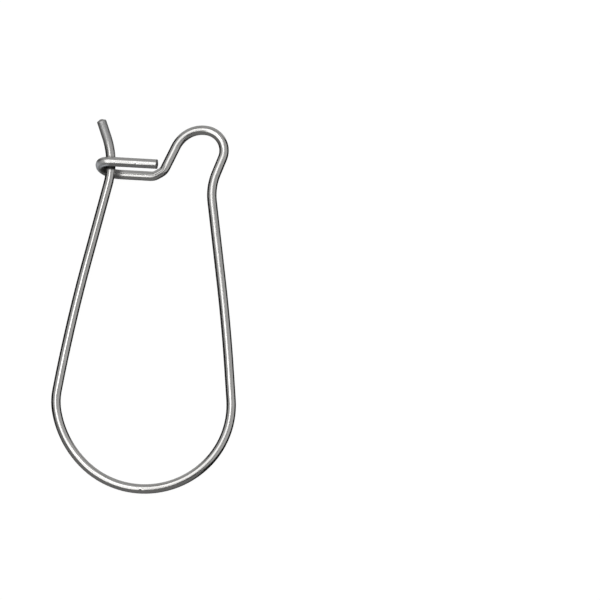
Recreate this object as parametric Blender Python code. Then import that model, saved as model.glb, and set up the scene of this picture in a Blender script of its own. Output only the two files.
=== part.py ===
"""Kidney ear wire: one length of round steel wire, bent into a long loop that its own hook holds shut.

The wire lies flat, as it would on a bench. The bow, the ear leg, the hump and the lower run lie in one
plane. The post leg springs up out of that plane, passes between the two runs of the hook and ends in
the post, the free end that goes through the ear.

+Y runs from the bow to the hump, +X from the post side to the ear side and +Z up. Units are metres
and radians.
"""

import math
from typing import NamedTuple

import bpy
from mathutils import Vector

MM = 0.001
DEG = math.pi / 180

# Wire
WIRE = 0.81 * MM  # diameter, across the flats of the solid's sides
WIRE_SIDES = 12
STEEL_COLOUR = (0.56, 0.55, 0.53, 1.0)
STEEL_ROUGHNESS = 0.28

# Bow, from its lowest point to each side
BOW_RADIUS_POST_SIDE = 7.30 * MM
BOW_TURN_POST_SIDE = 40.8 * DEG
BOW_CORNER_RADIUS = 8.28 * MM
BOW_CORNER_TURN = 34.3 * DEG
BOW_RADIUS_EAR_SIDE = 7.50 * MM
BOW_TURN_EAR_SIDE = 49.1 * DEG

# Post leg: the bow's end, a long stretch that is barely bowed, then a straight up to the catch
POST_HIP_RADIUS = 4.97 * MM
POST_HIP_TURN = 20.9 * DEG
POST_LEG_BOWING = 148.9 * MM
POST_LEG_BOWING_TURN = 4.4 * DEG

# Post: bent out of the loop's way, from a little below the lower run
POST_BEND_BELOW_RUN = 0.93 * MM
POST_BEND_RADIUS = 7.02 * MM
POST_BEND_TURN = 33.5 * DEG
POST_END = 1.59 * MM

# Ear leg
EAR_HIP_RADIUS = 7.00 * MM
EAR_HIP_TURN = 49.5 * DEG
EAR_LEG_LOW = 2.46 * MM
EAR_LEG_BOWING = 157.6 * MM
EAR_LEG_BOWING_TURN = 2.8 * DEG
EAR_LEG_HIGH = 6.76 * MM

# Hump that sits in the ear: the leg turns out at the neck, then back over the top
NECK_RADIUS = 4.73 * MM
NECK_TURN = 29.1 * DEG
NECK_TO_SHOULDER = 1.43 * MM
SHOULDER_RADIUS = 1.71 * MM
SHOULDER_TURN = 100.1 * DEG
CROWN_RADIUS = 2.40 * MM
CROWN_TURN = 40.8 * DEG
BACK_RADIUS = 2.62 * MM
BACK_TURN = 35.2 * DEG
BACK_LENGTH = 2.04 * MM

# Lower run across the loop, after an elbow in two turns. The second turns as far as this slope
ELBOW_RADIUS = 0.85 * MM
ELBOW_FIRST_TURN = 34.0 * DEG
ELBOW_STRAIGHT = 0.40 * MM  # between the two turns
RUN_SLOPE = 1.7 * DEG
RETURN_RUN = 4.22 * MM

# Catch. Its sizes are shares of one pitch, a wire and the clearance beside it
CATCH_CLEARANCE = 0.05 * MM
PITCH = WIRE + CATCH_CLEARANCE
LEG_RISE = 1.62 * PITCH  # the post leg's height over the lower run, where it crosses
HOOK_RISE = 2.80 * PITCH  # the return run's height over the lower run
HOOK_OFFSET = 1.21 * PITCH  # the return run's place past the lower run, towards the hump
HOOK_REACH = 1.01 * PITCH  # from the post leg to the hook's far end
WIDE_TURN_RADIUS = 2.05 * PITCH
TIGHT_TURN_RADIUS = 0.80 * PITCH

# Smoothness of the bends
SAG = 0.01  # most that a chord strays from its arc, as a share of the wire
MOST_TURN_A_STEP = 12.0 * DEG
MOST_WIRES_A_STEP = 2.5


class Stretch(NamedTuple):
    """A straight, then a bend of that radius. A positive turn is to the left."""

    straight: float
    radius: float
    turn: float


class Course:
    """Bends wire in the loop's plane and keeps its points and the length at each."""

    def __init__(self, heading):
        self.points = [Vector((0, 0, 0))]
        self.lengths = [0.0]
        self.heading = heading

    @property
    def along(self):
        return Vector((math.cos(self.heading), math.sin(self.heading), 0))

    @property
    def leftward(self):
        return Vector((-math.sin(self.heading), math.cos(self.heading), 0))

    def go(self, length):
        places = straight_run(self.points[-1], self.along, length)
        self._keep(places, length)

    def bend(self, radius, turn):
        inward = self.leftward * math.copysign(1, turn)
        places = bent_run(self.points[-1], self.along, inward, radius, abs(turn))
        self.heading += turn
        self._keep(places, radius * abs(turn))

    def _keep(self, places, length):
        before = self.lengths[-1]
        self.lengths += [before + length * (step + 1) / len(places) for step in range(len(places))]
        self.points += places

    def follow(self, stretches):
        for stretch in stretches:
            if stretch.straight:
                self.go(stretch.straight)
            if stretch.turn:
                self.bend(stretch.radius, stretch.turn)


def straight_run(start, along, length):
    """Points of a straight, after its start."""
    steps = math.ceil(length / (MOST_WIRES_A_STEP * WIRE))
    return [start + along * length * (step + 1) / steps for step in range(steps)]


def bent_run(start, along, inward, radius, turn):
    """Points of a bend, after its start, in chords that stray little from the arc and turn little."""
    fine = 2 * math.acos(1 - SAG * WIRE / radius)
    long = MOST_WIRES_A_STEP * WIRE / radius
    steps = math.ceil(turn / min(fine, long, MOST_TURN_A_STEP))
    angles = [turn * (step + 1) / steps for step in range(steps)]
    centre = start + inward * radius
    return [centre + (along * math.sin(a) - inward * math.cos(a)) * radius for a in angles]


def toward_hump(run_along):
    """Square to the lower run, in the loop's plane."""
    return Vector((run_along.y, -run_along.x, 0))


def ear_side():
    """From the bow's lowest point up the ear leg and over the hump to the elbow's end."""
    course = Course(heading=0)
    course.follow(
        (
            Stretch(0, BOW_RADIUS_EAR_SIDE, BOW_TURN_EAR_SIDE),
            Stretch(0, EAR_HIP_RADIUS, EAR_HIP_TURN),
            Stretch(EAR_LEG_LOW, EAR_LEG_BOWING, EAR_LEG_BOWING_TURN),
            Stretch(EAR_LEG_HIGH, NECK_RADIUS, -NECK_TURN),
            Stretch(NECK_TO_SHOULDER, SHOULDER_RADIUS, SHOULDER_TURN),
            Stretch(0, CROWN_RADIUS, CROWN_TURN),
            Stretch(0, BACK_RADIUS, BACK_TURN),
        )
    )
    second_turn = math.pi + RUN_SLOPE - course.heading + ELBOW_FIRST_TURN
    course.follow(
        (
            Stretch(BACK_LENGTH, ELBOW_RADIUS, -ELBOW_FIRST_TURN),
            Stretch(ELBOW_STRAIGHT, ELBOW_RADIUS, second_turn),
        )
    )
    return course


def post_side(run_start, run_along):
    """From the bow's lowest point up the post leg to the end of the post.

    Returns the course, the point where it crosses the lower run's line and the length to there.
    """
    course = Course(heading=math.pi)
    course.follow(
        (
            Stretch(0, BOW_RADIUS_POST_SIDE, -BOW_TURN_POST_SIDE),
            Stretch(0, BOW_CORNER_RADIUS, -BOW_CORNER_TURN),
            Stretch(0, POST_HIP_RADIUS, -POST_HIP_TURN),
            Stretch(0, POST_LEG_BOWING, -POST_LEG_BOWING_TURN),
        )
    )
    across = toward_hump(run_along)
    to_run = (run_start - course.points[-1]).dot(across) / course.along.dot(across)
    course.go(to_run - POST_BEND_BELOW_RUN)
    centre = course.points[-1] + course.leftward * POST_BEND_RADIUS
    off_line = (run_start - centre).dot(across)
    foot = centre + across * off_line
    crossing = foot - run_along * math.sqrt(POST_BEND_RADIUS**2 - off_line**2)
    bent = course.leftward.angle(centre - crossing)
    crossing_length = course.lengths[-1] + POST_BEND_RADIUS * bent
    course.bend(POST_BEND_RADIUS, POST_BEND_TURN)
    course.go(POST_END)
    return course, crossing, crossing_length


def sprung(course, spring_start, crossing_length):
    """The points, lifted as a bar bends that is held at spring_start and pushed up at the catch."""
    lifted = []
    for point, length in zip(course.points, course.lengths):
        share = max(0.0, (length - spring_start) / (crossing_length - spring_start))
        near, far = sorted((share, 1.0))
        lift = LEG_RISE * near**2 * (3 * far - near) / 2
        lifted.append(point + Vector((0, 0, lift)))
    return lifted


def hook(run_start, run_along, crossing):
    """Points of the lower run, the hook's two turns and the return run, from the elbow on."""
    climb = toward_hump(run_along) * HOOK_OFFSET + Vector((0, 0, HOOK_RISE))
    upward = climb.normalized()
    far_end = (crossing - run_start).dot(run_along) + HOOK_REACH
    points = straight_run(run_start, run_along, far_end - WIDE_TURN_RADIUS)
    points += bent_run(points[-1], run_along, upward, WIDE_TURN_RADIUS, math.pi / 2)
    points.append(points[-1] + upward * (climb.length - WIDE_TURN_RADIUS - TIGHT_TURN_RADIUS))
    points += bent_run(points[-1], upward, -run_along, TIGHT_TURN_RADIUS, math.pi / 2)
    return points + straight_run(points[-1], -run_along, RETURN_RUN)


def wire_route():
    """The wire's centre line from the return run's cut end to the post's, in the loop's own frame."""
    ear = ear_side()
    post, crossing, crossing_length = post_side(ear.points[-1], ear.along)
    spring_start = BOW_RADIUS_POST_SIDE * BOW_TURN_POST_SIDE + BOW_CORNER_RADIUS * BOW_CORNER_TURN
    leg = sprung(post, spring_start, crossing_length)
    hooked = hook(ear.points[-1], ear.along, crossing)
    return hooked[::-1] + ear.points[::-1] + leg[1:]


def steel():
    material = bpy.data.materials.new("steel")
    material.use_nodes = True
    shader = material.node_tree.nodes["Principled BSDF"]
    shader.inputs["Base Color"].default_value = STEEL_COLOUR
    shader.inputs["Metallic"].default_value = 1.0
    shader.inputs["Roughness"].default_value = STEEL_ROUGHNESS
    return material


def ear_wire(collection):
    """The whole finding: a wire along the route, with one of its flat sides facing down."""
    half_side = math.pi / WIRE_SIDES
    curve = bpy.data.curves.new("ear_wire", "CURVE")
    curve.dimensions = "3D"
    curve.twist_mode = "Z_UP"
    curve.bevel_depth = WIRE / 2 / math.cos(half_side)
    curve.bevel_resolution = WIRE_SIDES // 2 - 2
    curve.use_fill_caps = True
    route = wire_route()
    spline = curve.splines.new("POLY")
    spline.points.add(len(route) - 1)
    for point, place in zip(spline.points, route):
        point.co = (*place, 1)
        point.tilt = half_side
    spline.use_smooth = True
    curve.materials.append(steel())
    wire = bpy.data.objects.new("ear_wire", curve)
    collection.objects.link(wire)
    return wire


def stand_on_floor(wire):
    """Moves the wire so that it rests at height 0 and its box is centred on the origin."""
    graph = bpy.context.evaluated_depsgraph_get()
    solid = wire.evaluated_get(graph)
    spread = list(zip(*(vertex.co for vertex in solid.to_mesh().vertices)))
    solid.to_mesh_clear()
    wire.location = (
        -(min(spread[0]) + max(spread[0])) / 2,
        -(min(spread[1]) + max(spread[1])) / 2,
        -min(spread[2]),
    )


def main():
    for old in list(bpy.data.objects):
        bpy.data.objects.remove(old)
    collection = bpy.data.collections.new("kidney_ear_wire")
    bpy.context.scene.collection.children.link(collection)
    stand_on_floor(ear_wire(collection))


main()
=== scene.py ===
"""Kidney ear wire in drawn steel, lying on a white bench, seen from straight above.

One length of round wire is bent by the same programme as its solid: a bow, two legs, a hump, a
lower run and a hook that holds the post leg. The wire is swept here as a fine round mesh with its
ends cut, its bends flattened and its tool marks pressed in. Then it gets its drawn steel finish,
with painted shade where the catch shades the wire and on the cut end, and a painted sheen on the
hook's rim and inner lip.

Lengths are metres and angles are radians. +Y runs from the bow to the hump and +Z up.
"""

import logging
import math
from bisect import bisect_right
from collections.abc import Iterable, Sequence
from dataclasses import dataclass, field
from enum import Enum
from typing import NamedTuple

import bmesh
import bpy
from mathutils import Matrix, Vector


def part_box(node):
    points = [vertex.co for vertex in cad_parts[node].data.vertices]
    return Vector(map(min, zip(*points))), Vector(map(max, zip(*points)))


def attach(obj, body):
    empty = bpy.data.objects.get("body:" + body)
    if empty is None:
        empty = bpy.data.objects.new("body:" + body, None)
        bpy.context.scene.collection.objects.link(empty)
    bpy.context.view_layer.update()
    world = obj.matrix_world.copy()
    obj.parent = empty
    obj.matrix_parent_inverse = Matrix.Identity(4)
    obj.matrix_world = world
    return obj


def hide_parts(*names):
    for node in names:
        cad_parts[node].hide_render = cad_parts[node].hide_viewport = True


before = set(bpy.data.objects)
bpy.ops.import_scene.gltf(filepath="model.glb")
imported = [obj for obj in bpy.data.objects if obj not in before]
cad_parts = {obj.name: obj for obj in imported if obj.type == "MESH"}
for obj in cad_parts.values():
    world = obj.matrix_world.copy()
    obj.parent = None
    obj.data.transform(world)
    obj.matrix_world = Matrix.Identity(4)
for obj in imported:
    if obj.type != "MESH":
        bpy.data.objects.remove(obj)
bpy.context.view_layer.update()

log = logging.getLogger("ear_wire")

MM = 0.001
DEG = math.pi / 180
UP = Vector((0, 0, 1))
FADE = 1.6  # a patch is whole where this times the share of the way in from its edge is 1 or more
MARK_REACH = 4  # a tool mark is worked out over this many of its lengths to each side
NOISE_DETAIL = 3.0
NOISE_RANGE = (0.35, 0.65)  # nearly all of a noise's own values lie between these

Triple = tuple[float, float, float]
Colour = tuple[float, float, float, float]


class Stretch(NamedTuple):
    """A straight, then a bend of that radius. A positive turn is to the left."""

    straight: float
    radius: float
    turn: float


class Station(Enum):
    """A place on the wire that other places are measured from."""

    CUT_END = "the cut end of the return run"
    ELBOW = "the elbow's end, where the lower run starts"
    BOW = "the lowest point of the bow"
    CATCH = "where the post leg crosses the lower run"
    POST_TIP = "the tip of the post"


@dataclass
class Course:
    """Wire bent step by step in the loop's plane, with its points and the length at each."""

    heading: float
    step: float
    points: list[Vector] = field(default_factory=lambda: [Vector((0, 0, 0))])
    lengths: list[float] = field(default_factory=lambda: [0.0])

    @property
    def along(self) -> Vector:
        """The direction that the wire runs in at its end."""
        return Vector((math.cos(self.heading), math.sin(self.heading), 0))

    @property
    def leftward(self) -> Vector:
        """The direction to the left of the wire's end."""
        return Vector((-math.sin(self.heading), math.cos(self.heading), 0))

    def go(self, length: float) -> None:
        """Adds a straight of that length."""
        self._keep(straight_run(self.points[-1], self.along, length, self.step), length)

    def bend(self, radius: float, turn: float) -> None:
        """Adds a bend.

        Args:
            radius: Its radius.
            turn: How far it turns, to the left where that is positive.
        """
        inward = self.leftward * math.copysign(1, turn)
        places = bent_run(self.points[-1], self.along, inward, radius, abs(turn), self.step)
        self.heading += turn
        self._keep(places, radius * abs(turn))

    def follow(self, stretches: Iterable[Stretch]) -> None:
        """Adds each stretch in turn, leaving out a straight or a bend of nothing.

        Args:
            stretches: The stretches in their order.
        """
        for stretch in stretches:
            if stretch.straight:
                self.go(stretch.straight)
            if stretch.turn:
                self.bend(stretch.radius, stretch.turn)

    def _keep(self, places: Sequence[Vector], length: float) -> None:
        """Adds these places, which share out that length evenly.

        Args:
            places: Points of one straight or bend, without its start.
            length: The whole length of that straight or bend.
        """
        before = self.lengths[-1]
        share = length / len(places)
        self.lengths += [before + share * (count + 1) for count in range(len(places))]
        self.points += places


def straight_run(start: Vector, along: Vector, length: float, step: float) -> list[Vector]:
    """Points of a straight.

    Args:
        start: Where it starts, which isn't among the points.
        along: Its direction.
        length: Its length.
        step: The most that two points lie apart.

    Returns:
        The points after the start.
    """
    steps = math.ceil(length / step)
    return [start + along * length * (count + 1) / steps for count in range(steps)]


def bent_run(
    start: Vector, along: Vector, inward: Vector, radius: float, turn: float, step: float
) -> list[Vector]:
    """Points of a bend.

    Args:
        start: Where it starts, which isn't among the points.
        along: The direction that it starts out in.
        inward: The direction of its centre, square to along.
        radius: Its radius.
        turn: How far it turns.
        step: The most that two points lie apart.

    Returns:
        The points after the start.
    """
    steps = math.ceil(radius * turn / step)
    angles = [turn * (count + 1) / steps for count in range(steps)]
    centre = start + inward * radius
    return [centre + (along * math.sin(a) - inward * math.cos(a)) * radius for a in angles]


def toward_hump(run_along: Vector) -> Vector:
    """The direction square to the lower run, in the loop's plane."""
    return Vector((run_along.y, -run_along.x, 0))


def grey(level: float) -> Colour:
    """A grey of that level."""
    return (level, level, level, 1.0)


def eased(share: float) -> float:
    """A share from 0 to 1, made to start and stop gently. It is held to that range."""
    held = min(max(share, 0.0), 1.0)
    return held * held * (3 - 2 * held)


class Spot(NamedTuple):
    """The wire's axis at one place.

    The roll is a direction square to the wire that turns with it and never round it. The bending
    points to the inside of the bend, with one over its radius as its length.
    """

    point: Vector
    heading: Vector
    roll: Vector
    bending: Vector


@dataclass
class Route:
    """The wire's centre line from the return run's cut end to the post's tip."""

    points: list[Vector]
    stations: dict[Station, int]
    lengths: list[float] = field(init=False)
    headings: list[Vector] = field(init=False)
    rolls: list[Vector] = field(init=False)
    bendings: list[Vector] = field(init=False)

    def __post_init__(self) -> None:
        """Works out the length at each point, the directions and the bendings."""
        self.lengths = [0.0]
        for before, after in zip(self.points, self.points[1:]):
            self.lengths.append(self.lengths[-1] + (after - before).length)
        ends = [self.points[0], *self.points, self.points[-1]]
        self.headings = [(after - before).normalized() for before, after in zip(ends, ends[2:])]
        self.rolls = self._rolls()
        self.bendings = self._bendings()

    def place(self, station: Station, offset: float) -> float:
        """The length at a place, given from a station. The offset is positive towards the post."""
        return self.lengths[self.stations[station]] + offset

    def spot(self, length: float) -> Spot:
        """Finds the axis at a place, on the straight from the last point before it.

        Args:
            length: The length along the wire to the place.

        Returns:
            The axis there.
        """
        index = max(bisect_right(self.lengths, length) - 1, 0)
        heading = self.headings[index]
        point = self.points[index] + heading * (length - self.lengths[index])
        return Spot(point, heading, self.rolls[index], self.bendings[index])

    def _rolls(self) -> list[Vector]:
        """Carries a direction along the wire without turning it round the wire.

        Returns:
            The roll at each point, which is upwards at the first.
        """
        upward = UP - self.headings[0] * UP.dot(self.headings[0])
        found = [upward.normalized()]
        for before, after in zip(self.headings, self.headings[1:]):
            turned = before.rotation_difference(after) @ found[-1]
            found.append((turned - after * turned.dot(after)).normalized())
        return found

    def _bendings(self) -> list[Vector]:
        """Compares the headings on both sides of each point.

        Returns:
            The bending at each point.
        """
        ends = [self.headings[0], *self.headings, self.headings[-1]]
        reach = [self.lengths[0], *self.lengths, self.lengths[-1]]
        return [
            (after - before) / (far - near)
            for before, after, near, far in zip(ends, ends[2:], reach, reach[2:])
        ]


@dataclass(frozen=True)
class BendingPlan:
    """The sizes that the wire is bent to, and the route that they give."""

    gauge: float = 0.81 * MM
    step: float = 0.05 * MM

    bow_radius_post_side: float = 7.30 * MM
    bow_turn_post_side: float = 40.8 * DEG
    bow_corner_radius: float = 8.28 * MM
    bow_corner_turn: float = 34.3 * DEG
    bow_radius_ear_side: float = 7.50 * MM
    bow_turn_ear_side: float = 49.1 * DEG

    post_hip_radius: float = 4.97 * MM
    post_hip_turn: float = 20.9 * DEG
    post_leg_bowing: float = 148.9 * MM
    post_leg_bowing_turn: float = 4.4 * DEG
    post_bend_below_run: float = 0.93 * MM
    post_bend_radius: float = 7.02 * MM
    post_bend_turn: float = 33.5 * DEG
    post_end: float = 1.59 * MM

    ear_hip_radius: float = 7.00 * MM
    ear_hip_turn: float = 49.5 * DEG
    ear_leg_low: float = 2.46 * MM
    ear_leg_bowing: float = 157.6 * MM
    ear_leg_bowing_turn: float = 2.8 * DEG
    ear_leg_high: float = 6.76 * MM

    neck_radius: float = 4.73 * MM
    neck_turn: float = 29.1 * DEG
    neck_to_shoulder: float = 1.43 * MM
    shoulder_radius: float = 1.71 * MM
    shoulder_turn: float = 100.1 * DEG
    crown_radius: float = 2.40 * MM
    crown_turn: float = 40.8 * DEG
    back_radius: float = 2.62 * MM
    back_turn: float = 35.2 * DEG
    back_length: float = 2.04 * MM

    elbow_radius: float = 0.85 * MM
    elbow_first_turn: float = 34.0 * DEG
    elbow_straight: float = 0.40 * MM
    run_slope: float = 1.7 * DEG
    return_run: float = 4.22 * MM

    catch_clearance: float = 0.05 * MM
    leg_rise: float = 1.62
    hook_rise: float = 2.80
    hook_offset: float = 1.21
    hook_reach: float = 1.01
    wide_turn_radius: float = 2.05
    tight_turn_radius: float = 0.80

    @property
    def pitch(self) -> float:
        """A wire and the clearance beside it. The catch's last six sizes are shares of it."""
        return self.gauge + self.catch_clearance

    def ear_side(self) -> Course:
        """Bends the ear leg and the hump.

        Returns:
            The wire from the bow's lowest point over the hump to the elbow's end.
        """
        course = Course(heading=0, step=self.step)
        course.follow(
            (
                Stretch(0, self.bow_radius_ear_side, self.bow_turn_ear_side),
                Stretch(0, self.ear_hip_radius, self.ear_hip_turn),
                Stretch(self.ear_leg_low, self.ear_leg_bowing, self.ear_leg_bowing_turn),
                Stretch(self.ear_leg_high, self.neck_radius, -self.neck_turn),
                Stretch(self.neck_to_shoulder, self.shoulder_radius, self.shoulder_turn),
                Stretch(0, self.crown_radius, self.crown_turn),
                Stretch(0, self.back_radius, self.back_turn),
            )
        )
        second_turn = math.pi + self.run_slope - course.heading + self.elbow_first_turn
        course.follow(
            (
                Stretch(self.back_length, self.elbow_radius, -self.elbow_first_turn),
                Stretch(self.elbow_straight, self.elbow_radius, second_turn),
            )
        )
        return course

    def post_side(self, run_start: Vector, run_along: Vector) -> tuple[list[Vector], Vector]:
        """Bends the post leg, sprung over the lower run, from the bow's lowest point to the tip.

        Args:
            run_start: Where the lower run starts, at the elbow's end.
            run_along: The lower run's direction.

        Returns:
            The points, and the place in the loop's plane where they cross the lower run's line.
        """
        course = Course(heading=math.pi, step=self.step)
        course.follow(
            (
                Stretch(0, self.bow_radius_post_side, -self.bow_turn_post_side),
                Stretch(0, self.bow_corner_radius, -self.bow_corner_turn),
                Stretch(0, self.post_hip_radius, -self.post_hip_turn),
                Stretch(0, self.post_leg_bowing, -self.post_leg_bowing_turn),
            )
        )
        across = toward_hump(run_along)
        to_run = (run_start - course.points[-1]).dot(across) / course.along.dot(across)
        course.go(to_run - self.post_bend_below_run)
        centre = course.points[-1] + course.leftward * self.post_bend_radius
        off_line = (run_start - centre).dot(across)
        foot = centre + across * off_line
        crossing = foot - run_along * math.sqrt(self.post_bend_radius**2 - off_line**2)
        bent = course.leftward.angle(centre - crossing)
        crossing_length = course.lengths[-1] + self.post_bend_radius * bent
        course.bend(self.post_bend_radius, self.post_bend_turn)
        course.go(self.post_end)
        return self.sprung(course, crossing_length), crossing

    def sprung(self, course: Course, crossing_length: float) -> list[Vector]:
        """The post leg's points, lifted as a bar bends that is held at the bow and pushed up.

        Args:
            course: The post leg in the loop's plane.
            crossing_length: The length along it where the lower run pushes it up.

        Returns:
            The lifted points.
        """
        held = (
            self.bow_radius_post_side * self.bow_turn_post_side
            + self.bow_corner_radius * self.bow_corner_turn
        )
        lifted = []
        for point, length in zip(course.points, course.lengths):
            share = max(0.0, (length - held) / (crossing_length - held))
            near, far = sorted((share, 1.0))
            lift = self.leg_rise * self.pitch * near**2 * (3 * far - near) / 2
            lifted.append(point + UP * lift)
        return lifted

    def hook(self, run_start: Vector, run_along: Vector, crossing: Vector) -> list[Vector]:
        """Bends the hook round the post leg.

        Args:
            run_start: Where the lower run starts, at the elbow's end.
            run_along: The lower run's direction.
            crossing: Where the post leg crosses the lower run's line, in the loop's plane.

        Returns:
            Points of the lower run, the hook's two turns and the return run.
        """
        climb = (toward_hump(run_along) * self.hook_offset + UP * self.hook_rise) * self.pitch
        upward = climb.normalized()
        wide = self.wide_turn_radius * self.pitch
        tight = self.tight_turn_radius * self.pitch
        far_end = (crossing - run_start).dot(run_along) + self.hook_reach * self.pitch
        quarter_turn = math.pi / 2
        points = straight_run(run_start, run_along, far_end - wide, self.step)
        points += bent_run(points[-1], run_along, upward, wide, quarter_turn, self.step)
        points += straight_run(points[-1], upward, climb.length - wide - tight, self.step)
        points += bent_run(points[-1], upward, -run_along, tight, quarter_turn, self.step)
        return points + straight_run(points[-1], -run_along, self.return_run, self.step)

    def route(self) -> Route:
        """Joins the hook, the ear side and the post side.

        Returns:
            The whole centre line, with the bow's lowest point at the origin.
        """
        ear = self.ear_side()
        post, crossing = self.post_side(ear.points[-1], ear.along)
        hooked = self.hook(ear.points[-1], ear.along, crossing)
        points = hooked[::-1] + ear.points[::-1] + post[1:]
        bow = len(hooked) + len(ear.points) - 1
        gaps = {index: (points[index].xy - crossing.xy).length for index in range(bow, len(points))}
        catch = min(gaps, key=gaps.get)
        stations = {
            Station.CUT_END: 0,
            Station.ELBOW: len(hooked),
            Station.BOW: bow,
            Station.CATCH: catch,
            Station.POST_TIP: len(points) - 1,
        }
        return Route(points, stations)


@dataclass(frozen=True)
class ToolMark:
    """A shallow dent that pliers or a cutter left. The spread is an angle round the wire."""

    station: Station
    offset: float
    facing: Triple
    depth: float
    length: float
    spread: float

    def depth_at(self, distance: float, off_centre: float) -> float:
        """How deep the dent is.

        Args:
            distance: Along the wire from the dent's middle.
            off_centre: The angle round the wire from the dent's middle.

        Returns:
            Its depth there.
        """
        along = distance / self.length
        around = off_centre / self.spread
        return self.depth * math.exp(-along * along - around * around)


@dataclass(frozen=True)
class Patch:
    """A stretch of changed surface, all round or on the side it faces, which fades out.

    It stands for wear, a frosted finish, painted shade and painted sheen.

    The spread is the angle from the way it faces at which nothing is left of it.
    """

    station: Station
    offset: float
    reach: float
    amount: float
    facing: Triple | None = None
    spread: float = math.pi

    def amount_at(self, distance: float, outward: Vector) -> float:
        """How much the surface is changed.

        Args:
            distance: Along the wire from the patch's middle.
            outward: The direction that the surface faces.

        Returns:
            From 0 to the patch's own amount.
        """
        turned = outward.angle(Vector(self.facing)) if self.facing else 0.0
        fade = (1 - abs(distance) / self.reach) * FADE
        return self.amount * eased(fade) * eased((1 - turned / self.spread) * FADE)


@dataclass(frozen=True)
class WireEnd:
    """How an end of the wire is cut.

    The edge is the radius that it is rounded to, the dome is how far its face bulges, and the slant
    is how far the cut is from square. The slant's reach is the length of wire that leans with it.
    """

    edge: float
    dome: float
    slant: float
    longest_side: Triple
    edge_steps: int = 6
    face_steps: int = 4
    slant_reach: float = 0.6 * MM

    def profile(self, radius: float) -> list[tuple[float, float]]:
        """The end's outline, from the whole wire to next to the axis.

        Args:
            radius: The wire's radius.

        Returns:
            Pairs of the distance short of the very end and the distance off the axis.
        """
        rim = radius - self.edge
        turns = [math.pi / 2 * step / self.edge_steps for step in range(self.edge_steps + 1)]
        edge = [
            (self.dome + self.edge * (1 - math.sin(turn)), rim + self.edge * math.cos(turn))
            for turn in turns
        ]
        shares = [step / self.face_steps for step in range(self.face_steps - 1, 0, -1)]
        face = [(self.dome * share * share, rim * share) for share in shares]
        return edge + face

    def shortened(self, short: float, off_axis: Vector, radius: float) -> float:
        """How much the slant takes off the wire.

        Args:
            short: The distance short of the very end.
            off_axis: From the wire's axis to the place in question.
            radius: The wire's radius.

        Returns:
            The length taken off there, which fades out away from the end.
        """
        depth = radius - off_axis.dot(Vector(self.longest_side).normalized())
        return math.tan(self.slant) * depth * eased(1 - short / self.slant_reach)


@dataclass(frozen=True)
class Measures:
    """Names of what the mesh keeps for its finish and for the texture bake."""

    straightened: str = "straightened"
    worn: str = "worn"
    # The hook's frosted rim, lightened as a painted sheen, and a painted reflection on its inner
    # lip
    stretched: str = "stretched"
    # Painted shade, where the catch shades the wire and on the cut end
    painted_shade: str = "painted_shade"
    bake_map: str = "OFBake"


MEASURES = Measures()


@dataclass(frozen=True)
class StripMap:
    """Lays the wire's surface out flat in a square, as strips side by side."""

    strips: int = 6
    margin: float = 0.01
    gutter: float = 0.04

    def place(self, strip: int, along: float, around: float, total: float) -> tuple[float, float]:
        """Where a point of the surface goes.

        Args:
            strip: The strip that its face is in.
            along: Its distance along the surface from the first end.
            around: Its place round the wire, from 0 to 1.
            total: The whole surface's length.

        Returns:
            Its place in the square, from 0 to 1 each way.
        """
        share = along / total * self.strips - strip
        across = self.margin + (1 - 2 * self.margin) * share
        up = (strip + self.gutter + (1 - 2 * self.gutter) * around) / self.strips
        return across, up

    def strip(self, along: float, total: float) -> int:
        """The strip that a face starting there goes in."""
        return min(int(along / total * self.strips), self.strips - 1)


class Blend(Enum):
    """What a blend is made of."""

    NUMBERS = "FLOAT"
    COLOURS = "RGBA"


class NodeDesk:
    """Adds shader nodes to a material and joins them."""

    def __init__(self, material: bpy.types.Material) -> None:
        """Clears the material's nodes.

        Args:
            material: The material to work on.
        """
        material.use_nodes = True
        self.tree = material.node_tree
        self.tree.nodes.clear()

    def add(self, kind: str, inputs: dict[str, object], **settings: object) -> bpy.types.Node:
        """Adds one node.

        Args:
            kind: Its type, without the ShaderNode in front.
            inputs: A value, or another node's output, for each input that isn't left as it is.
            settings: Its own properties.

        Returns:
            The node.
        """
        node = self.tree.nodes.new("ShaderNode" + kind)
        for name, value in settings.items():
            setattr(node, name, value)
        for name, value in inputs.items():
            self.feed(node.inputs[name], value)
        return node

    def feed(self, socket: bpy.types.NodeSocket, value: object) -> None:
        """Gives an input what it takes.

        Args:
            socket: The input.
            value: Its value, or another node's output.
        """
        if isinstance(value, bpy.types.NodeSocket):
            self.tree.links.new(value, socket)
        else:
            socket.default_value = value

    def attribute(self, name: str, output: str) -> bpy.types.NodeSocket:
        """One of the mesh's measures."""
        return self.add("Attribute", {}, attribute_name=name).outputs[output]

    def noise(self, place: bpy.types.NodeSocket, scale: Triple) -> bpy.types.NodeSocket:
        """Adds a noise.

        Args:
            place: The place that it is worked out at.
            scale: How fine it is each way.

        Returns:
            The noise, spread out to run from 0 to 1.
        """
        stretched = self.add("Mapping", {"Vector": place, "Scale": scale}).outputs["Vector"]
        noise = self.add("TexNoise", {"Vector": stretched, "Scale": 1.0, "Detail": NOISE_DETAIL})
        low, high = NOISE_RANGE
        spread = {"Value": noise.outputs["Fac"], "From Min": low, "From Max": high}
        return self.add("MapRange", spread).outputs["Result"]

    def between(
        self,
        share: bpy.types.NodeSocket,
        first: object,
        second: object,
        blend: Blend = Blend.NUMBERS,
    ) -> bpy.types.NodeSocket:
        """Adds a blend of two things.

        Args:
            share: How much of the second there is, from 0 to 1.
            first: A value or another node's output.
            second: A value or another node's output.
            blend: What the two are.

        Returns:
            The blend.
        """
        node = self.tree.nodes.new("ShaderNodeMix")
        node.data_type = blend.value
        sockets = {socket.name: socket for socket in node.inputs if socket.enabled}
        for name, value in (("Factor", share), ("A", first), ("B", second)):
            self.feed(sockets[name], value)
        return next(socket for socket in node.outputs if socket.enabled)


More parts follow.
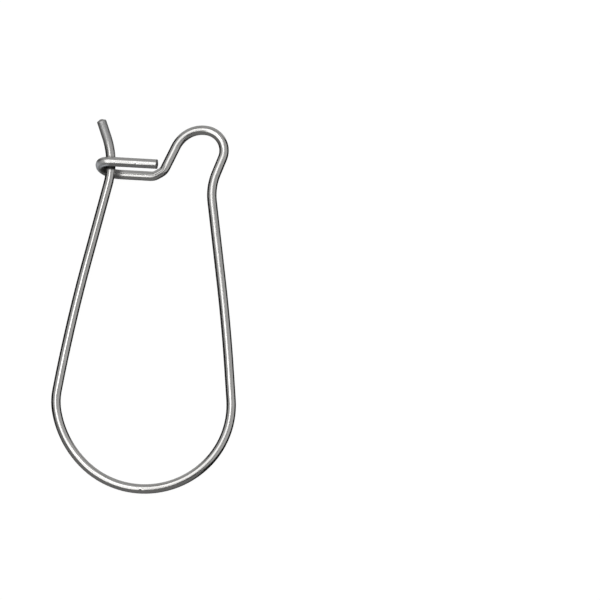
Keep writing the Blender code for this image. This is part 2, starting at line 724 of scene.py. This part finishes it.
@dataclass(frozen=True)
class DrawnSteel:
    """Bright steel drawn through a die, with fine lengthwise lines, and dull where tools worked it.

    Painted shade turns it near black where the catch shades the wire and on the cut end, and a
    painted sheen lightens the hook's frosted rim and its inner lip.

    The noise scales are for a millimetre, twice across the wire and then along it.
    """

    light: Colour = (0.66, 0.65, 0.635, 1.0)
    dark: Colour = (0.50, 0.495, 0.485, 1.0)
    worked: Colour = (0.47, 0.47, 0.465, 1.0)
    # Frosted finish, made a bluish near white as a painted sheen on the hook's rim and a painted
    # reflection on its inner lip
    frosted_and_sheen: Colour = (0.88, 0.90, 0.93, 1.0)
    # Painted shade: near black where the return run and the hook shade the post leg, in the hook's
    # crevices, on the lower run beside the leg and on the cut end
    painted_shade_colour: Colour = (0.035, 0.034, 0.033, 1.0)
    smooth_roughness: float = 0.12
    lined_roughness: float = 0.20
    worked_roughness: float = 0.52
    frosted_roughness: float = 0.80
    painted_shade_roughness: float = 0.60
    line_scale: Triple = (14.0, 14.0, 0.35)
    band_scale: Triple = (2.5, 2.5, 0.12)
    handling_scale: Triple = (2.0, 2.0, 1.3)
    pit_scale: Triple = (4.0, 4.0, 9.0)
    line_depth: float = 0.0006 * MM
    pit_depth: float = 0.005 * MM

    def material(self) -> bpy.types.Material:
        """Builds the finish.

        Returns:
            The material.
        """
        made = bpy.data.materials.new("drawn_steel")
        desk = NodeDesk(made)
        place = desk.attribute(MEASURES.straightened, "Vector")
        worn = desk.attribute(MEASURES.worn, "Fac")
        stretched = desk.attribute(MEASURES.stretched, "Fac")
        painted_shade = desk.attribute(MEASURES.painted_shade, "Fac")
        lines = desk.noise(place, self.line_scale)
        bands = desk.noise(place, self.band_scale)
        handling = desk.noise(place, self.handling_scale)
        pits = desk.noise(place, self.pit_scale)

        tone = desk.between(bands, self.light, self.dark, Blend.COLOURS)
        lined = desk.between(lines, self.light, self.dark, Blend.COLOURS)
        drawn = desk.between(handling, tone, lined, Blend.COLOURS)
        clean = desk.between(lines, self.smooth_roughness, self.lined_roughness)
        dulled = desk.between(worn, drawn, self.worked, Blend.COLOURS)
        # Painted sheen: the frosted colour lightens the hook's rim and paints a reflection on its
        # inner lip
        bare = desk.between(stretched, dulled, self.frosted_and_sheen, Blend.COLOURS)
        dull_roughness = desk.between(worn, clean, self.worked_roughness)
        roughness = desk.between(stretched, dull_roughness, self.frosted_roughness)
        worn_pits = desk.between(worn, 0.0, pits)
        fine = desk.add("Bump", {"Height": lines, "Distance": self.line_depth})
        coarse = desk.add(
            "Bump",
            {
                "Height": worn_pits,
                "Distance": self.pit_depth,
                "Normal": fine.outputs["Normal"],
            },
        )
        shader = desk.add(
            "BsdfPrincipled",
            {
                # The painted shade turns the colour near black where the catch shades the wire and
                # on the cut end
                "Base Color": desk.between(painted_shade, bare, self.painted_shade_colour, Blend.COLOURS),
                "Metallic": 1.0,
                "Roughness": desk.between(painted_shade, roughness, self.painted_shade_roughness),
                "Normal": coarse.outputs["Normal"],
            },
        )
        desk.add("OutputMaterial", {"Surface": shader.outputs["BSDF"]})
        return made


class Section(NamedTuple):
    """Where a ring of the mesh goes: its place along the wire and its distance off the axis."""

    length: float
    off_axis: float


@dataclass
class KidneyWire:
    """The ear wire as one swept mesh.

    The flattening is the share of its radius that the wire would lose on the outside of a bend of
    that same radius. A gentler bend loses less in proportion.
    """

    plan: BendingPlan = field(default_factory=BendingPlan)
    sides: int = 40
    flattening: float = 0.06
    cut_end: WireEnd = WireEnd(
        edge=0.03 * MM, dome=0.0, slant=12 * DEG, longest_side=(0, 0, -1)
    )
    post_tip: WireEnd = WireEnd(
        edge=0.14 * MM, dome=0.10 * MM, slant=3 * DEG, longest_side=(-1, 0, 0)
    )
    # A mark's station, its offset, the way it faces, its depth, its length and its spread
    marks: tuple[ToolMark, ...] = (
        ToolMark(Station.CUT_END, 1.89 * MM, (0, 0, 1), 0.007 * MM, 0.06 * MM, 40 * DEG),
        ToolMark(Station.CUT_END, 3.66 * MM, (0, 0.6, 1), 0.010 * MM, 0.08 * MM, 40 * DEG),
        ToolMark(Station.BOW, -0.35 * MM, (0, -0.3, 1), 0.012 * MM, 0.10 * MM, 22 * DEG),
        ToolMark(Station.ELBOW, 6.70 * MM, (0, -0.3, 1), 0.012 * MM, 0.40 * MM, 28 * DEG),
        ToolMark(Station.ELBOW, 0.68 * MM, (0.55, -0.83, 0.4), 0.040 * MM, 0.40 * MM, 34 * DEG),
    )
    # A patch's station, its offset, its reach, its amount, the way it faces and its spread
    worn: tuple[Patch, ...] = (
        Patch(Station.CUT_END, 4.9 * MM, 1.5 * MM, 0.3, (-1.0, -0.3, 0.5), 100 * DEG),
        Patch(Station.ELBOW, 0.68 * MM, 0.75 * MM, 0.7, (0.55, -0.83, -0.2), 68 * DEG),
        Patch(Station.POST_TIP, 0.0, 3.4 * MM, 0.9),
        Patch(Station.BOW, -25.5 * MM, 8.0 * MM, 0.22),
    )
    stretched: tuple[Patch, ...] = (
        # The hook's outer rim: frosted, and lightened as a painted sheen
        Patch(Station.CUT_END, 5.4 * MM, 1.9 * MM, 1.0, (-1.0, -0.6, 0.0), 75 * DEG),
        # The hook's inner lip: a painted reflection of the lit wire beneath it
        Patch(Station.CUT_END, 4.75 * MM, 0.80 * MM, 1.0, (0.1, -0.83, 0.55), 29 * DEG),
    )
    # Painted shade, in order: the return run's shadow on the post leg, the crevice under the hook's
    # front run, the hook's inside next to the leg, the lower run beside the leg, and the cut end's
    # face, which mirrors the dark room below
    painted_shade: tuple[Patch, ...] = (
        Patch(Station.CATCH, 0.60 * MM, 0.30 * MM, 1.0),
        Patch(Station.CUT_END, 3.7 * MM, 1.1 * MM, 1.0, (0.0, -1.0, -0.35), 44 * DEG),
        Patch(Station.CUT_END, 5.6 * MM, 1.5 * MM, 0.6, (1.0, -0.3, 0.2), 80 * DEG),
        Patch(Station.CUT_END, 7.6 * MM, 1.0 * MM, 0.7, (0.0, 0.3, 1.0), 100 * DEG),
        Patch(Station.CUT_END, 0.0, 0.08 * MM, 0.6),
    )
    strip_map: StripMap = StripMap()
    finish: DrawnSteel = DrawnSteel()

    @property
    def radius(self) -> float:
        """Half the wire's gauge."""
        return self.plan.gauge / 2

    def build(self) -> bpy.types.Object:
        """Bends, sweeps, places and dresses the wire.

        Returns:
            The wire, which stands for the solid of the frame.
        """
        route = self.plan.route()
        data = bpy.data.meshes.new("drawn_wire")
        self.sweep(route, data)
        self.put_in_place(data)
        data.materials.append(self.finish.material())
        wire = bpy.data.objects.new("drawn_wire", data)
        bpy.context.scene.collection.objects.link(wire)
        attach(wire, "root")
        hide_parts("ear_wire")
        length = route.lengths[-1] / MM
        log.info("%s: %d faces, %.1f mm of wire", wire.name, len(data.polygons), length)
        return wire

    def sections(self, lengths: Sequence[float]) -> list[Section]:
        """Chooses where the rings go.

        Args:
            lengths: The lengths along the wire to the route's points.

        Returns:
            The cut end's outline, then the route's own places, then the tip's outline.
        """
        total = lengths[-1]
        first = [Section(short, off_axis) for short, off_axis in self.cut_end.profile(self.radius)]
        last = [
            Section(total - short, off_axis)
            for short, off_axis in self.post_tip.profile(self.radius)
        ]
        low, high = first[0].length, last[0].length
        body = [Section(length, self.radius) for length in lengths if low < length < high]
        return first[::-1] + body + last

    def angle(self, side: int) -> float:
        """How far round the wire a ring's corner is."""
        return 2 * math.pi * side / self.sides

    def outwards(self, spot: Spot) -> list[Vector]:
        """Finds the directions from the axis to a ring's corners.

        Args:
            spot: The axis at the ring.

        Returns:
            A direction for each corner.
        """
        sideways = spot.heading.cross(spot.roll)
        angles = [self.angle(side) for side in range(self.sides)]
        return [spot.roll * math.cos(angle) + sideways * math.sin(angle) for angle in angles]

    def ring(self, route: Route, section: Section) -> list[Vector]:
        """Works out one ring, with its dents and with what the ends' cuts take off.

        Args:
            route: The wire's centre line.
            section: Where the ring goes.

        Returns:
            The places of its corners.
        """
        spot = route.spot(section.length)
        to_tip = route.lengths[-1] - section.length
        near = []
        for mark in self.marks:
            distance = section.length - route.place(mark.station, mark.offset)
            if abs(distance) < MARK_REACH * mark.length:
                near.append((mark, distance, self.facing(mark, spot)))
        places = []
        for outward in self.outwards(spot):
            depth = self.flattening * self.radius**2 * max(0.0, -outward.dot(spot.bending))
            for mark, distance, facing in near:
                depth += mark.depth_at(distance, outward.angle(facing))
            off_axis = outward * (section.off_axis - depth)
            slide = self.cut_end.shortened(section.length, off_axis, self.radius)
            slide -= self.post_tip.shortened(to_tip, off_axis, self.radius)
            places.append(spot.point + off_axis + spot.heading * slide)
        return places

    @staticmethod
    def facing(mark: ToolMark, spot: Spot) -> Vector:
        """The direction that a mark faces, square to the wire."""
        facing = Vector(mark.facing)
        return (facing - spot.heading * facing.dot(spot.heading)).normalized()

    def amounts(self, patches: Sequence[Patch], route: Route, length: float) -> list[float]:
        """How much of what these patches stand for each corner of a ring gets.

        Args:
            patches: Patches of one kind.
            route: The wire's centre line.
            length: The ring's place along it.

        Returns:
            An amount from 0 to 1 for each corner.
        """
        found = [0.0] * self.sides
        for patch in patches:
            distance = length - route.place(patch.station, patch.offset)
            if abs(distance) < patch.reach:
                outwards = self.outwards(route.spot(length))
                here = [patch.amount_at(distance, outward) for outward in outwards]
                found = [max(pair) for pair in zip(found, here)]
        return found

    def sweep(self, route: Route, data: bpy.types.Mesh) -> None:
        """Makes the mesh along the route, with its measures.

        Args:
            route: The wire's centre line.
            data: The mesh to fill.
        """
        sections = self.sections(route.lengths)
        mesh = bmesh.new()
        straightened = mesh.verts.layers.float_vector.new(MEASURES.straightened)
        # Wear, the frosted finish with its painted sheen, and the painted shade, each kept at the
        # ring's corners
        changes = {
            MEASURES.worn: self.worn,
            MEASURES.stretched: self.stretched,
            MEASURES.painted_shade: self.painted_shade,
        }
        layers = {mesh.verts.layers.float.new(name): patches for name, patches in changes.items()}
        rings = []
        for section in sections:
            shares = {
                layer: self.amounts(patches, route, section.length)
                for layer, patches in layers.items()
            }
            ring = []
            for side, place in enumerate(self.ring(route, section)):
                angle = self.angle(side)
                vertex = mesh.verts.new(place)
                across = Vector((math.cos(angle), math.sin(angle), 0)) * section.off_axis
                vertex[straightened] = (across + UP * section.length) / MM
                for layer, share in shares.items():
                    vertex[layer] = share[side]
                ring.append(vertex)
            rings.append(ring)
        self.skin(mesh, rings, sections)
        mesh.to_mesh(data)
        mesh.free()

    def skin(
        self,
        mesh: bmesh.types.BMesh,
        rings: Sequence[Sequence[bmesh.types.BMVert]],
        sections: Sequence[Section],
    ) -> None:
        """Joins the rings with faces, laid out in the bake's map, and closes both ends.

        Args:
            mesh: The mesh that the rings are in.
            rings: The corners of each ring, from end to end.
            sections: Where each ring is.
        """
        bake_map = mesh.loops.layers.uv.new(MEASURES.bake_map)
        reach = [0.0]
        for before, after in zip(sections, sections[1:]):
            step = math.hypot(after.length - before.length, after.off_axis - before.off_axis)
            reach.append(reach[-1] + step)
        total = reach[-1]
        for index, (before, after) in enumerate(zip(rings, rings[1:])):
            near, far = reach[index], reach[index + 1]
            for side in range(self.sides):
                follow = (side + 1) % self.sides
                face = mesh.faces.new((before[side], before[follow], after[follow], after[side]))
                corners = ((near, side), (near, side + 1), (far, side + 1), (far, side))
                self.lay_out(face, bake_map, corners, near, total)
        for ring, along in ((rings[0][::-1], 0.0), (rings[-1], total)):
            face = mesh.faces.new(ring)
            corners = [(along, side) for side in range(self.sides)]
            self.lay_out(face, bake_map, corners, along, total)

    def lay_out(
        self,
        face: bmesh.types.BMFace,
        bake_map: bmesh.types.BMLayerItem,
        corners: Sequence[tuple[float, int]],
        start: float,
        total: float,
    ) -> None:
        """Smooths a face and gives it its place in the bake's map.

        Args:
            face: The face.
            bake_map: The map.
            corners: The distance along the surface and the side of the wire at each corner.
            start: The distance along the surface where the face starts.
            total: The whole surface's length.
        """
        face.smooth = True
        strip = self.strip_map.strip(start, total)
        for loop, (along, side) in zip(face.loops, corners):
            loop[bake_map].uv = self.strip_map.place(strip, along, side / self.sides, total)

    def put_in_place(self, data: bpy.types.Mesh) -> None:
        """Moves the mesh to the solid's place: its sides, its bow and its under side agree.

        Args:
            data: The mesh, with the bow's lowest point on the wire's axis at the origin.
        """
        low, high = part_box("ear_wire")
        across = [vertex.co.x for vertex in data.vertices]
        to_middle = (low.x + high.x - min(across) - max(across)) / 2
        to_bow = low.y - min(vertex.co.y for vertex in data.vertices)
        data.transform(Matrix.Translation((to_middle, to_bow, self.radius)))


@dataclass(frozen=True)
class SoftLight:
    """A round softbox, given by where it is seen from the object and how bright it looks."""

    name: str
    azimuth: float
    from_zenith: float
    half_width: float
    radiance: float
    distance: float = 0.6

    def build(self, turn: float) -> None:
        """Hangs the light and aims it at the object.

        Args:
            turn: The camera's turn about the vertical, which the azimuth is measured from.
        """
        data = bpy.data.lights.new(self.name, "AREA")
        data.shape = "DISK"
        data.size = 2 * self.distance * math.tan(self.half_width)
        area = math.pi * (data.size / 2) ** 2
        data.energy = self.radiance * math.pi * area
        level = math.sin(self.from_zenith)
        height = math.cos(self.from_zenith)
        bearing = self.azimuth + turn
        away = Vector((level * math.cos(bearing), level * math.sin(bearing), height))
        light = bpy.data.objects.new(self.name, data)
        light.location = away * self.distance
        light.rotation_euler = away.to_track_quat("Z", "Y").to_euler()
        light.visible_camera = False
        bpy.context.scene.collection.objects.link(light)


@dataclass
class Studio:
    """The bench, the light round it and the camera above it."""

    camera_height: float = 2.0
    view_width: float = 51.0 * MM
    looking_at: tuple[float, float] = (12.49 * MM, 1.74 * MM)
    turn: float = 4.912 * DEG
    sensor: float = 36.0
    farthest_seen: float = 4.0
    bench_radius: float = 1.0
    bench_sides: int = 96
    bench_tone: float = 0.10
    bench_glow: float = 0.95
    ambient: float = 0.01
    # A light's name, its azimuth, its angle from the zenith, half its width and its radiance
    lights: tuple[SoftLight, ...] = (
        SoftLight("key", 120 * DEG, 23 * DEG, 27 * DEG, 1.20),
        SoftLight("low_left", 225 * DEG, 20 * DEG, 16 * DEG, 1.70),
        SoftLight("high_right", 60 * DEG, 15 * DEG, 7 * DEG, 3.00),
        SoftLight("right_card", 5 * DEG, 50 * DEG, 41 * DEG, 0.55),
        SoftLight("far_card", 83 * DEG, 112 * DEG, 50 * DEG, 0.45),
        SoftLight("left_card", 150 * DEG, 50 * DEG, 37 * DEG, 0.50),
        SoftLight("low_card", 250 * DEG, 77 * DEG, 57 * DEG, 0.20),
        SoftLight("upper_card", 80 * DEG, 43 * DEG, 21 * DEG, 0.45),
    )

    def build_camera(self) -> None:
        """Puts the camera straight above, turned as the photograph was."""
        data = bpy.data.cameras.new("camera")
        data.sensor_width = self.sensor
        data.lens = self.sensor * self.camera_height / self.view_width
        data.clip_end = self.farthest_seen
        camera = bpy.data.objects.new("camera", data)
        camera.location = (*self.looking_at, self.camera_height)
        camera.rotation_euler = (0, 0, self.turn)
        bpy.context.scene.collection.objects.link(camera)
        bpy.context.scene.camera = camera

    def build_bench(self) -> None:
        """Lays the white bench, which the steel doesn't mirror."""
        mesh = bmesh.new()
        bmesh.ops.create_circle(
            mesh, cap_ends=True, segments=self.bench_sides, radius=self.bench_radius
        )
        data = bpy.data.meshes.new("bench")
        mesh.to_mesh(data)
        mesh.free()
        data.materials.append(self.white())
        bench = bpy.data.objects.new("bench", data)
        bench.visible_glossy = False
        bench.visible_shadow = False
        bpy.context.scene.collection.objects.link(bench)

    def white(self) -> bpy.types.Material:
        """Makes a white surface, lit from within so that it holds no heavy shadow.

        Returns:
            The material.
        """
        made = bpy.data.materials.new("bench_white")
        desk = NodeDesk(made)
        shader = desk.add(
            "BsdfPrincipled",
            {
                "Base Color": grey(self.bench_tone),
                "Roughness": 1.0,
                "Specular IOR Level": 0.0,
                "Emission Color": grey(1.0),
                "Emission Strength": self.bench_glow,
            },
        )
        desk.add("OutputMaterial", {"Surface": shader.outputs["BSDF"]})
        return made

    def build_lights(self) -> None:
        """Hangs the softboxes and dims the room."""
        world = bpy.data.worlds.new("room")
        world.use_nodes = True
        background = world.node_tree.nodes["Background"]
        background.inputs["Color"].default_value = grey(self.ambient)
        bpy.context.scene.world = world
        for light in self.lights:
            light.build(self.turn)

    def build(self) -> None:
        """Builds the whole studio."""
        bpy.context.scene.view_settings.view_transform = "Standard"
        self.build_camera()
        self.build_bench()
        self.build_lights()
        log.info("studio: a bench and %d lights", len(self.lights))


def main() -> None:
    """Builds the studio and the wire, which logs its faces and its length."""
    logging.basicConfig(level=logging.INFO, format="%(name)s: %(message)s")
    Studio().build()
    KidneyWire().build()


if __name__ == "__main__":
    main()
